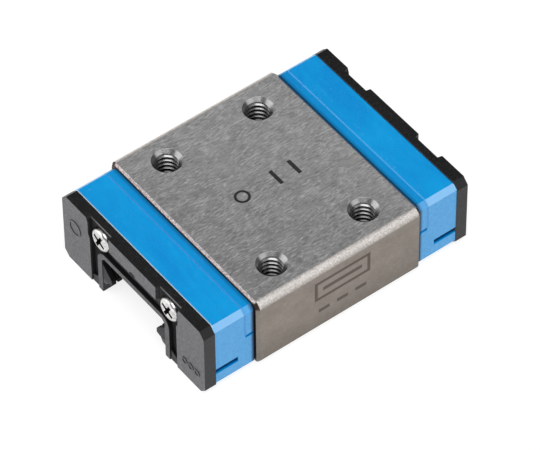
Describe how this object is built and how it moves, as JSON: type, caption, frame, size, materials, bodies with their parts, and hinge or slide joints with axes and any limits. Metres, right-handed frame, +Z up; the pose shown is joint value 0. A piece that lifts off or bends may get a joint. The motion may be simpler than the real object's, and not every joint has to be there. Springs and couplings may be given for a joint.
{
  "type": "miniature linear guide carriage",
  "caption": "Low steel carriage block with moulded blue end parts, black wiping seals and recirculating balls, tapped on top and open below to run on a profiled rail.",
  "frame": {"origin": "middle of the footprint, on the level of the lowest edge of the end seals", "axes": "+X along the rail, +Y across the rail, +Z up out of the tapped mounting face"},
  "size_m": [0.023, 0.017, 0.0065],
  "materials": {
    "ground_steel": "ground",
    "guide_blue": "satin",
    "cap_blue": "satin",
    "seal_black": "matt",
    "lip_rubber": "matt",
    "screw_steel": "polished",
    "ball_steel": "polished",
    "wire_steel": "drawn",
    "sleeve_resin": "matt"
  },
  "bodies": {
    "carriage": {"casing": "ground_steel", "inner_guide_front": "guide_blue", "end_cap_front": "cap_blue", "seal_plate_front": "seal_black", "seal_lip_front": "lip_rubber", "end_screw_front_left": "screw_steel", "end_screw_front_right": "screw_steel", "inner_guide_rear": "guide_blue", "end_cap_rear": "cap_blue", "seal_plate_rear": "seal_black", "seal_lip_rear": "lip_rubber", "end_screw_rear_left": "screw_steel", "end_screw_rear_right": "screw_steel", "retaining_wire_left": "wire_steel", "return_sleeve_left": "sleeve_resin", "retaining_wire_right": "wire_steel", "return_sleeve_right": "sleeve_resin"},
    "loaded_row_left": {"loaded_balls_left": "ball_steel"},
    "return_row_left": {"return_balls_left": "ball_steel"},
    "turn_front_left": {"turn_balls_front_left": "ball_steel"},
    "turn_rear_left": {"turn_balls_rear_left": "ball_steel"},
    "loaded_row_right": {"loaded_balls_right": "ball_steel"},
    "return_row_right": {"return_balls_right": "ball_steel"},
    "turn_front_right": {"turn_balls_front_right": "ball_steel"},
    "turn_rear_right": {"turn_balls_rear_right": "ball_steel"}
  },
  "joints": [
    {"name": "loaded_row_left_travel", "type": "slide", "parent": "carriage", "child": "loaded_row_left", "axis": [1, 0, 0], "range_m": [-0.00085, 0.00085]},
    {"name": "return_row_left_travel", "type": "slide", "parent": "carriage", "child": "return_row_left", "axis": [1, 0, 0], "range_m": [-0.00085, 0.00085]},
    {"name": "turn_front_left_rotation", "type": "hinge", "parent": "carriage", "child": "turn_front_left", "pos_m": [-0.00763, 0.00522, 0.00202], "axis": [0, -0.1698, 0.9855], "range_deg": [-30.1, 30.1]},
    {"name": "turn_rear_left_rotation", "type": "hinge", "parent": "carriage", "child": "turn_rear_left", "pos_m": [0.00763, 0.00522, 0.00202], "axis": [0, -0.1698, 0.9855], "range_deg": [-30.1, 30.1]},
    {"name": "loaded_row_right_travel", "type": "slide", "parent": "carriage", "child": "loaded_row_right", "axis": [1, 0, 0], "range_m": [-0.00085, 0.00085]},
    {"name": "return_row_right_travel", "type": "slide", "parent": "carriage", "child": "return_row_right", "axis": [1, 0, 0], "range_m": [-0.00085, 0.00085]},
    {"name": "turn_front_right_rotation", "type": "hinge", "parent": "carriage", "child": "turn_front_right", "pos_m": [-0.00763, -0.00522, 0.00202], "axis": [0, -0.1698, -0.9855], "range_deg": [-30.1, 30.1]},
    {"name": "turn_rear_right_rotation", "type": "hinge", "parent": "carriage", "child": "turn_rear_right", "pos_m": [0.00763, -0.00522, 0.00202], "axis": [0, -0.1698, -0.9855], "range_deg": [-30.1, 30.1]}
  ],
  "couplings": [
    {"joint": "return_row_left_travel", "follows": "loaded_row_left_travel", "ratio": -1},
    {"joint": "turn_front_left_rotation", "follows": "loaded_row_left_travel", "rad_per_m": 617.28},
    {"joint": "turn_rear_left_rotation", "follows": "loaded_row_left_travel", "rad_per_m": 617.28},
    {"joint": "return_row_right_travel", "follows": "loaded_row_right_travel", "ratio": -1},
    {"joint": "turn_front_right_rotation", "follows": "loaded_row_right_travel", "rad_per_m": 617.28},
    {"joint": "turn_rear_right_rotation", "follows": "loaded_row_right_travel", "rad_per_m": 617.28}
  ]
}
